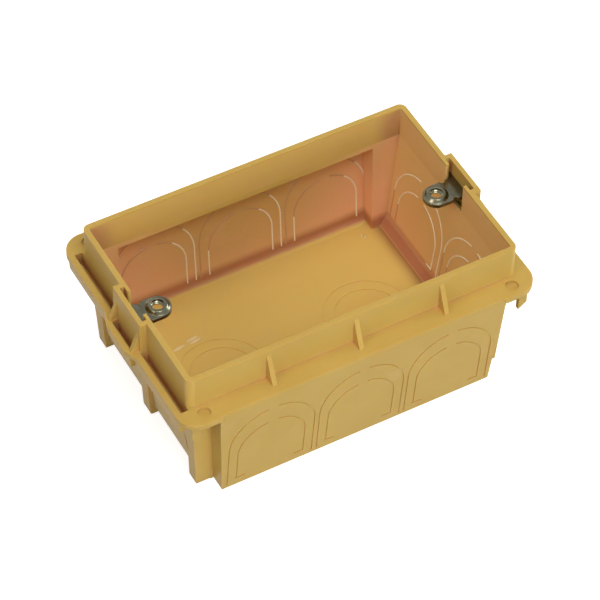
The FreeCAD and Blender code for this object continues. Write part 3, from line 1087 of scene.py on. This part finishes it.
    def stretch(self, mesh: bmesh.types.BMesh, flank: Flank, middle: float, arch: Arch,
                start: float, end: float) -> None:
        """Make a stretch of the rounded half of one arch.

        Args:
            mesh: mesh to add to.
            flank: which half.
            middle: place across the wall.
            arch: the arch.
            start: share of the half arch at which the stretch starts, from the leg.
            end: share of the half arch at which it ends.
        """
        pivot, axis = Vector((middle, arch.centre, 0.0)), Vector((0.0, 0.0, 1.0))
        turn = flank.value * math.acos(self.gap / arch.radius)
        edges = self.section(mesh, middle + flank.value * arch.radius, arch.centre, False)
        corners = list({corner for edge in edges for corner in edge.verts})
        bmesh.ops.rotate(mesh, verts=corners, cent=pivot,
                         matrix=Matrix.Rotation(turn * start, 3, axis))
        bmesh.ops.spin(mesh, geom=edges, cent=pivot, axis=axis, angle=turn * (end - start),
                       steps=self.steps, use_duplicate=False)

    def leg(self, mesh: bmesh.types.BMesh, flank: Flank, middle: float, arch: Arch, foot: float,
            tick: float) -> None:
        """Make the straight leg of an arch, with its foot mark.

        Args:
            mesh: mesh to add to.
            flank: which half.
            middle: place across the wall.
            arch: the arch.
            foot: height of the lower end.
            tick: length of the foot mark, or 0.
        """
        reach = middle + flank.value * arch.radius
        upright = self.section(mesh, reach, arch.centre, False)
        self.sweep(mesh, upright, Vector((0.0, foot - arch.centre, 0.0)))
        if tick:
            mark = self.section(mesh, reach, foot + self.width / 2.0, True)
            self.sweep(mesh, mark, Vector((-flank.value * tick, 0.0, 0.0)))


@dataclass
class FloorMarks:
    """Light rub marks and the moulding nib on the floor of the box.

    Attributes:
        level: height of the floor in metres.
        rubs: ends of each rub mark across the floor, in metres.
        rub_width: width of a rub mark.
        rub_rise: height of a rub mark.
        rub_steps: steps round a rub mark.
        nibs: places of the two halves of the nib.
        nib_radius: radius of each half.
        nib_steps: steps round each half.
        rings: rings of each mark.
    """

    level: float = 1.6 * MM
    rubs: Tuple[Tuple[Pair, Pair], ...] = (
        ((-30.8 * MM, 13.6 * MM), (-26.8 * MM, 14.4 * MM)),
        ((-26.2 * MM, 14.9 * MM), (-22.2 * MM, 15.6 * MM)),
        ((-25.6 * MM, 13.9 * MM), (-21.8 * MM, 14.5 * MM)),
    )
    rub_width: float = 0.9 * MM
    rub_rise: float = 0.03 * MM
    rub_steps: int = 16
    nibs: Tuple[Pair, ...] = ((35.3 * MM, 26.4 * MM), (35.9 * MM, 25.4 * MM))
    nib_radius: float = 0.42 * MM
    nib_steps: int = 12
    rings: int = 8

    def build(self, rubbed: bpy.types.Material) -> None:
        """Make the marks as one piece.

        Args:
            rubbed: finish of the marks.
        """
        mesh = bmesh.new()
        for start, end in self.rubs:
            run = Vector(end) - Vector(start)
            middle = (Vector(start) + Vector(end)) / 2.0
            turn = Matrix.Rotation(math.atan2(run.y, run.x), 4, "Z")
            spread = Matrix.Diagonal((run.length / 2.0, self.rub_width / 2.0, self.rub_rise, 1.0))
            place = Matrix.Translation((middle.x, middle.y, self.level))
            bmesh.ops.create_uvsphere(mesh, u_segments=self.rub_steps, v_segments=self.rings,
                                      radius=1.0, matrix=place @ turn @ spread)
        for along, across in self.nibs:
            place = Matrix.Translation((along, across, self.level))
            bmesh.ops.create_uvsphere(mesh, u_segments=self.nib_steps, v_segments=self.rings,
                                      radius=self.nib_radius, matrix=place)
        piece = new_object("floor_marks", mesh, rubbed, True)
        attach(piece, BODY)


@dataclass
class FixingLugs:
    """The two stamped lugs and the threads in their holes.

    Attributes:
        edges: their stamped edges.
        pitch: thread pitch in metres.
        depth: thread depth in metres.
        turns: turns of the thread.
        crest: height of the thread's crest, as a share of the pitch.
        root: width of the thread's root, as a share of the pitch.
        steps: steps round one turn.
    """

    edges: SoftEdges = SoftEdges(0.12 * MM)
    pitch: float = 0.6 * MM
    depth: float = 0.28 * MM
    turns: int = 2
    crest: float = 0.32
    root: float = 0.64
    steps: int = 28

    def build(self, zinc: bpy.types.Material) -> None:
        """Dress both lugs and cut their threads.

        Args:
            zinc: the plated finish.
        """
        screws = next(m for m in frame["record"]["mounts"] if m["name"] == SCREW_MOUNT)
        spacing = screws["dims"]["spacing_x_mm"] * MM
        radius = screws["dims"]["hole_r_mm"] * MM
        for node, side in ((Node.LUG_LEFT, -1.0), (Node.LUG_RIGHT, 1.0)):
            self.edges.dress(node, zinc)
            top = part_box(node.value)[1][2]
            self.thread(node, Vector((side * spacing / 2.0, 0.0, top)), radius, zinc)

    def thread(self, node: Node, centre: Vector, radius: float,
               zinc: bpy.types.Material) -> None:
        """Make the helical ridge inside one hole.

        Args:
            node: the lug that holds it.
            centre: middle of the hole at its upper rim.
            radius: radius of the hole.
            zinc: the plated finish.
        """
        mesh = bmesh.new()
        wall = centre.x + radius
        foot = centre.z - self.pitch * (self.turns + 1)
        ridge = mesh.faces.new([
            mesh.verts.new((wall, centre.y, foot)),
            mesh.verts.new((wall - self.depth, centre.y, foot + self.pitch * self.crest)),
            mesh.verts.new((wall, centre.y, foot + self.pitch * self.root)),
        ])
        count = self.steps * self.turns
        bmesh.ops.spin(
            mesh, geom=[ridge], cent=centre, axis=(0.0, 0.0, 1.0),
            dvec=(0.0, 0.0, self.pitch * self.turns / count),
            angle=math.tau * self.turns, steps=count, use_duplicate=False)
        bmesh.ops.recalc_face_normals(mesh, faces=mesh.faces)
        piece = new_object("screw_thread_" + node.value.split("_")[-1], mesh, zinc, False)
        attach(piece, BODY)


@dataclass
class PhotoCamera:
    """Camera at the photograph's viewing angle.

    Attributes:
        azimuth: degrees round from looking along +Y.
        elevation: degrees above the horizon.
        roll: degrees of tilt about the view.
        focal: focal length in pixels.
        distance: metres from the aim point.
        shift: aim point's offset in the picture plane, in metres.
        aim_height: height of the aim point in metres.
        frame_width: width of the picture in pixels.
        sensor: width of the sensor in millimetres.
        clip: nearest and farthest distance that is seen, in metres.
    """

    azimuth: float = -29.95
    elevation: float = 48.99
    roll: float = 1.415
    focal: float = 3139.0
    distance: float = 820.35 * MM
    shift: Pair = (-0.127 * MM, 16.327 * MM)
    aim_height: float = 45.0 * MM
    frame_width: float = 600.0
    sensor: float = 36.0
    clip: Pair = (0.01, 20.0)

    def build(self) -> None:
        """Create the camera and make it the scene's own."""
        turn = math.radians(self.azimuth)
        rise = math.radians(self.elevation)
        lean = math.radians(self.roll)
        back = Vector((math.sin(turn) * math.cos(rise), -math.cos(turn) * math.cos(rise),
                       math.sin(rise)))
        level = Vector((math.cos(turn), math.sin(turn), 0.0))
        plumb = back.cross(level)
        right = level * math.cos(lean) + plumb * math.sin(lean)
        upward = plumb * math.cos(lean) - level * math.sin(lean)
        place = Vector((0.0, 0.0, self.aim_height)) + back * self.distance
        place -= right * self.shift[0] + upward * self.shift[1]
        data = bpy.data.cameras.new("photo_camera")
        data.sensor_width = self.sensor
        data.lens = self.focal / self.frame_width * self.sensor
        data.clip_start, data.clip_end = self.clip
        camera = bpy.data.objects.new("photo_camera", data)
        bpy.context.scene.collection.objects.link(camera)
        basis = Matrix((right, upward, back)).transposed().to_4x4()
        camera.matrix_world = Matrix.Translation(place) @ basis
        bpy.context.scene.camera = camera


@dataclass
class Lamp:
    """One soft box.

    Attributes:
        name: lamp name.
        place: position in metres.
        power: watts.
        size: edge of the square in metres.
        colour: light colour.
    """

    name: str
    place: Tuple[float, float, float]
    power: float
    size: float
    colour: Colour = (1.0, 1.0, 1.0)

    def build(self, aim: Vector) -> None:
        """Create the lamp.

        Args:
            aim: point to face.
        """
        data = bpy.data.lights.new(self.name, "AREA")
        data.energy = self.power
        data.size = self.size
        data.color = self.colour
        lamp = bpy.data.objects.new(self.name, data)
        lamp.location = self.place
        lamp.rotation_euler = (aim - Vector(self.place)).to_track_quat("-Z", "Y").to_euler()
        bpy.context.scene.collection.objects.link(lamp)


@dataclass
class Studio:
    """Pale floor, white surroundings and soft light.

    Attributes:
        floor_size: edge of the floor in metres.
        floor_drop: depth of the floor under the box in metres.
        floor_paint: paleness of the floor for other rays and where it is seen.
        floor_glow: light added to the floor where it is seen.
        ambient: strength of the surrounding light.
        backdrop: brightness of the surroundings where they are seen.
        aim_height: height of the point that the lamps face, in metres.
        lamps: the soft boxes.
    """

    floor_size: float = 6.0
    floor_drop: float = 0.02 * MM
    floor_paint: Pair = (0.42, 0.6)
    floor_glow: float = 0.80
    ambient: float = 0.31
    backdrop: float = 1.0
    aim_height: float = 0.03
    lamps: List[Lamp] = field(default_factory=lambda: [
        Lamp("key_softbox", (0.0, -0.7, 1.2), 6.2, 0.5),
        Lamp("front_softbox", (-0.05, -1.3, 0.15), 8.5, 0.5),
        Lamp("side_softbox", (1.3, 0.0, 0.45), 7.5, 0.6),
        Lamp("back_softbox", (0.1, 1.3, 0.35), 4.0, 0.6),
        Lamp("left_softbox", (-1.05, -0.3, 0.85), 3.8, 0.5, (1.0, 0.82, 0.68)),
        Lamp("top_softbox", (0.0, 0.0, 1.5), 4.2, 0.5),
    ])

    def build(self) -> None:
        """Create floor, surroundings and lamps."""
        scene = bpy.context.scene
        scene.view_settings.view_transform = "Standard"
        self.floor()
        self.surroundings(scene)
        for lamp in self.lamps:
            lamp.build(Vector((0.0, 0.0, self.aim_height)))

    def floor(self) -> None:
        """Create the pale floor."""
        mesh = bmesh.new()
        bmesh.ops.create_grid(mesh, x_segments=1, y_segments=1, size=self.floor_size / 2.0)
        floor = new_object("pale_floor", mesh, self.paint(), False)
        floor.location = (0.0, 0.0, -self.floor_drop)

    def paint(self) -> bpy.types.Material:
        """Make the floor's finish.

        Returns:
            A pale paint that glows only where it is seen directly.
        """
        material = bpy.data.materials.new("pale_floor")
        material.use_nodes = True
        net = NodeTree(material.node_tree)
        material.node_tree.nodes.clear()
        paint = net.add("ShaderNodeBsdfDiffuse")
        glow = net.add("ShaderNodeEmission")
        seen = net.seen_directly()
        net.link(net.remap(seen, 0.0, 1.0, 0.0, self.floor_glow), glow.inputs["Strength"])
        net.link(net.remap(seen, 0.0, 1.0, *self.floor_paint), paint.inputs["Color"])
        both = net.add("ShaderNodeAddShader")
        net.link(paint.outputs["BSDF"], both.inputs[0])
        net.link(glow.outputs["Emission"], both.inputs[1])
        out = net.add("ShaderNodeOutputMaterial")
        net.link(both.outputs["Shader"], out.inputs["Surface"])
        return material

    def surroundings(self, scene: bpy.types.Scene) -> None:
        """Light the scene from all round and show white behind it.

        Args:
            scene: the scene to light.
        """
        world = bpy.data.worlds.new("white_room")
        world.use_nodes = True
        scene.world = world
        net = NodeTree(world.node_tree)
        world.node_tree.nodes.clear()
        strength = net.remap(net.seen_directly(), 0.0, 1.0, self.ambient, self.backdrop)
        sky = net.add("ShaderNodeBackground")
        net.link(strength, sky.inputs["Strength"])
        out = net.add("ShaderNodeOutputWorld")
        net.link(sky.outputs["Background"], out.inputs["Surface"])


def main() -> None:
    """Build the finishes, the pieces, the studio and the camera in order."""
    logging.basicConfig(level=logging.INFO, format="%(name)s: %(message)s")
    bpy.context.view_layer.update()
    groups = {kind.NAME: kind().build() for kind in (GrainGroup, ScuffGroup, InnerFaceGroup)}
    Moulding().build(RESIN.build(groups))
    shaded_line_resin = SHADED_LINE_RESIN.build(groups)
    KnockoutBeads().build({Line.BRIGHT: HIGHLIT_LINE_RESIN.build(groups), Line.PAINTED_SHADE: shaded_line_resin})
    FloorMarks().build(RUBBED_RESIN.build(groups))
    FixingLugs().build(ZINC.build(groups))
    Studio().build()
    PhotoCamera().build()


if __name__ == "__main__":
    main()
